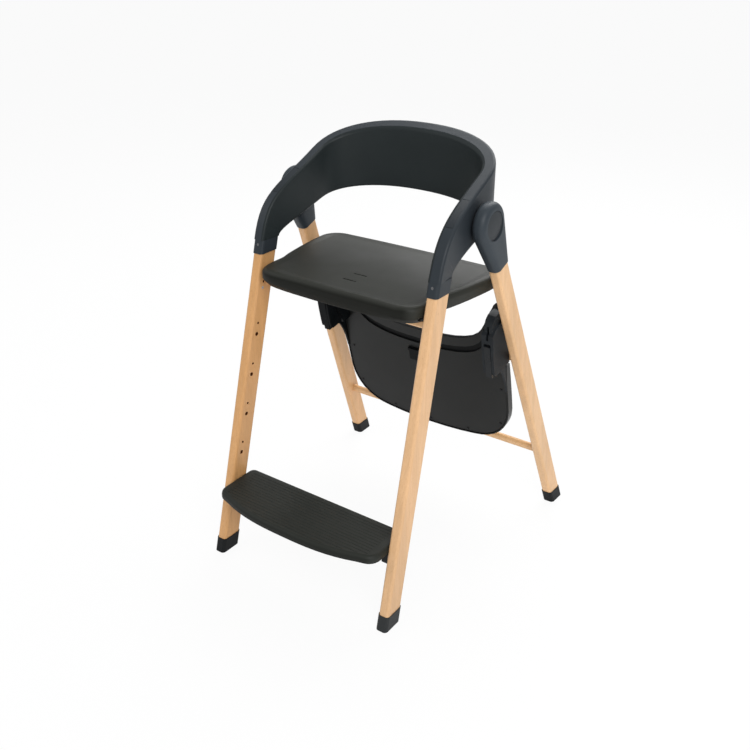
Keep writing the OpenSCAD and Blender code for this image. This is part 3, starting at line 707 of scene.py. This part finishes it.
class HIGHCHAIR_OT_tray(bpy.types.Operator):
    """Finishes the stored tray, its latches, levers, screws and clips"""

    bl_idname = "highchair.tray"
    bl_label = "Tray"

    def execute(self, context):
        fin = context.scene.chair_finish
        edges = context.scene.chair_edges
        shell = moulded("tray_plastic", shade(fin.tray, 1.15), 0.36)
        panel = moulded("tray_panel_plastic", fin.tray, 0.42)
        # Painted light and shade: the left latch and lever are darker with little sheen, and the right
        # latch is three times lighter, as the light falls on each side.
        latch = {
            "left": gloss("latch_plastic_left", fin.gloss, 0.42, 0.06),
            "right": gloss("latch_plastic_right", shade(fin.gloss, 3.0), 0.45, 0.14),
        }
        black = gloss("tray_black", shade(fin.gloss, 0.4), 0.45, 0.1)
        lever = {
            "left": gloss("lever_plastic_left", fin.gloss, 0.45, 0.06),
            "right": gloss("lever_plastic_right", shade(fin.gloss, 1.6), 0.26),
        }
        clip = moulded("hanger_plastic", fin.gloss, 0.4)
        screw = metal("black_screw", (0.03, 0.03, 0.032), 0.35)
        # The channel floor and the left wall take the near black; on the left wall that is painted shade.
        dress("tray_shell", "tray_moulding", shell, inner=(black, channel_and_shaded_wall_faces))
        dress("tray_base", "tray_panel", panel)
        dress("tray_clip", "tray_block", black, edges.small)
        dress("tray_screws", "tray_screw_set", screw, FINE_EDGE)
        for side in SIDES:
            dress("tray_latch_" + side, "latch_horn_" + side, latch[side], edges.moulded)
            dress("tray_lever_" + side, "release_lever_" + side, lever[side], edges.moulded)
            dress("tray_hanger_" + side, "crossbar_clip_" + side, clip, edges.small)
        return {"FINISHED"}


class HIGHCHAIR_OT_stage(bpy.types.Operator):
    """Sets the camera, the pale floor and the soft studio light"""

    bl_idname = "highchair.stage"
    bl_label = "Stage"

    def execute(self, context):
        scene = context.scene
        stg = scene.chair_stage
        cam = bpy.data.objects.new("camera", bpy.data.cameras.new("camera"))
        scene.collection.objects.link(cam)
        cam.data.lens = stg.lens
        cam.data.sensor_width = 36.0
        cam.data.sensor_fit = "HORIZONTAL"
        cam.data.clip_end = 200.0
        cam.location = stg.eye
        cam.rotation_euler = (Vector(stg.target) - Vector(stg.eye)).to_track_quat("-Z", "Y").to_euler()
        scene.camera = cam
        self.floor(scene, stg)
        self.lights(scene, stg)
        scene.view_settings.view_transform = "Standard"
        return {"FINISHED"}

    def floor(self, scene, stg):
        """A pale floor that the camera sees nearly white, with the chair's soft shadow."""
        bm = bmesh.new()
        bmesh.ops.create_grid(bm, x_segments=1, y_segments=1, size=stg.floor_size / 2)
        mesh = bpy.data.meshes.new("floor")
        bm.to_mesh(mesh)
        bm.free()
        floor = bpy.data.objects.new("floor", mesh)
        scene.collection.objects.link(floor)
        mat, nds, lnk, shader = new_material("floor_pale")
        shader.inputs["Base Color"].default_value = (0.86, 0.86, 0.86, 1.0)
        shader.inputs["Roughness"].default_value = 0.9
        out = next(n for n in nds if n.type == "OUTPUT_MATERIAL")
        glow = nds.new("ShaderNodeEmission")
        glow.inputs["Strength"].default_value = 1.0
        path = nds.new("ShaderNodeLightPath")
        gloss_share = nds.new("ShaderNodeMath")
        gloss_share.operation = "MULTIPLY"
        gloss_share.inputs[1].default_value = FLOOR_REFLECTED
        lnk.new(path.outputs["Is Glossy Ray"], gloss_share.inputs[0])
        share = nds.new("ShaderNodeMath")
        share.operation = "MULTIPLY_ADD"
        share.inputs[1].default_value = FLOOR_SEEN
        lnk.new(path.outputs["Is Camera Ray"], share.inputs[0])
        lnk.new(gloss_share.outputs[0], share.inputs[2])
        both = nds.new("ShaderNodeMixShader")
        lnk.new(share.outputs[0], both.inputs[0])
        lnk.new(shader.outputs[0], both.inputs[1])
        lnk.new(glow.outputs[0], both.inputs[2])
        lnk.new(both.outputs[0], out.inputs["Surface"])
        mesh.materials.append(mat)

    def lights(self, scene, stg):
        """An even sky, a large key at the front right, a weaker fill at the left and a soft lamp behind."""
        world = bpy.data.worlds.new("studio")
        scene.world = world
        world.use_nodes = True
        nds = world.node_tree.nodes
        lnk = world.node_tree.links
        nds.clear()
        out = nds.new("ShaderNodeOutputWorld")
        sky = nds.new("ShaderNodeBackground")
        white = nds.new("ShaderNodeBackground")
        sky.inputs["Color"].default_value = (0.97, 0.985, 1.0, 1.0)
        sky.inputs["Strength"].default_value = stg.sky
        path = nds.new("ShaderNodeLightPath")
        either = nds.new("ShaderNodeMixShader")
        lnk.new(path.outputs["Is Camera Ray"], either.inputs[0])
        lnk.new(sky.outputs[0], either.inputs[1])
        lnk.new(white.outputs[0], either.inputs[2])
        lnk.new(either.outputs[0], out.inputs["Surface"])
        for name, (place, size) in LAMPS.items():
            lamp = bpy.data.lights.new(name, "AREA")
            lamp.size = size
            lamp.energy = getattr(stg, name)
            obj = bpy.data.objects.new(name, lamp)
            obj.location = place
            obj.rotation_euler = (LAMP_TARGET - Vector(place)).to_track_quat("-Z", "Y").to_euler()
            scene.collection.objects.link(obj)


class HIGHCHAIR_PT_panel(bpy.types.Panel):
    """Lists the pieces of the chair"""

    bl_label = "High chair"
    bl_idname = "HIGHCHAIR_PT_panel"
    bl_space_type = "VIEW_3D"
    bl_region_type = "UI"
    bl_category = "High chair"

    def draw(self, context):
        col = self.layout.column()
        for op in STEPS:
            col.operator(op.bl_idname)
        for group in (context.scene.chair_finish, context.scene.chair_edges, context.scene.chair_stage):
            box = self.layout.box()
            for key in group.__annotations__:
                box.prop(group, key)


STEPS = (
    HIGHCHAIR_OT_stage,
    HIGHCHAIR_OT_beech,
    HIGHCHAIR_OT_feet,
    HIGHCHAIR_OT_band,
    HIGHCHAIR_OT_hubs,
    HIGHCHAIR_OT_seat,
    HIGHCHAIR_OT_footrest,
    HIGHCHAIR_OT_tray,
)
CLASSES = (FinishSettings, StageSettings, EdgeSettings, *STEPS, HIGHCHAIR_PT_panel)


def register():
    """Adds the classes and their settings to Blender."""
    for cls in CLASSES:
        bpy.utils.register_class(cls)
    bpy.types.Scene.chair_finish = PointerProperty(type=FinishSettings)
    bpy.types.Scene.chair_stage = PointerProperty(type=StageSettings)
    bpy.types.Scene.chair_edges = PointerProperty(type=EdgeSettings)


def unregister():
    """Takes the classes and their settings out again."""
    del bpy.types.Scene.chair_edges
    del bpy.types.Scene.chair_stage
    del bpy.types.Scene.chair_finish
    for cls in reversed(CLASSES):
        bpy.utils.unregister_class(cls)


def main():
    """Builds every piece in order."""
    register()
    for op in STEPS:
        group, name = op.bl_idname.split(".")
        getattr(getattr(bpy.ops, group), name)()


if __name__ == "__main__":
    main()
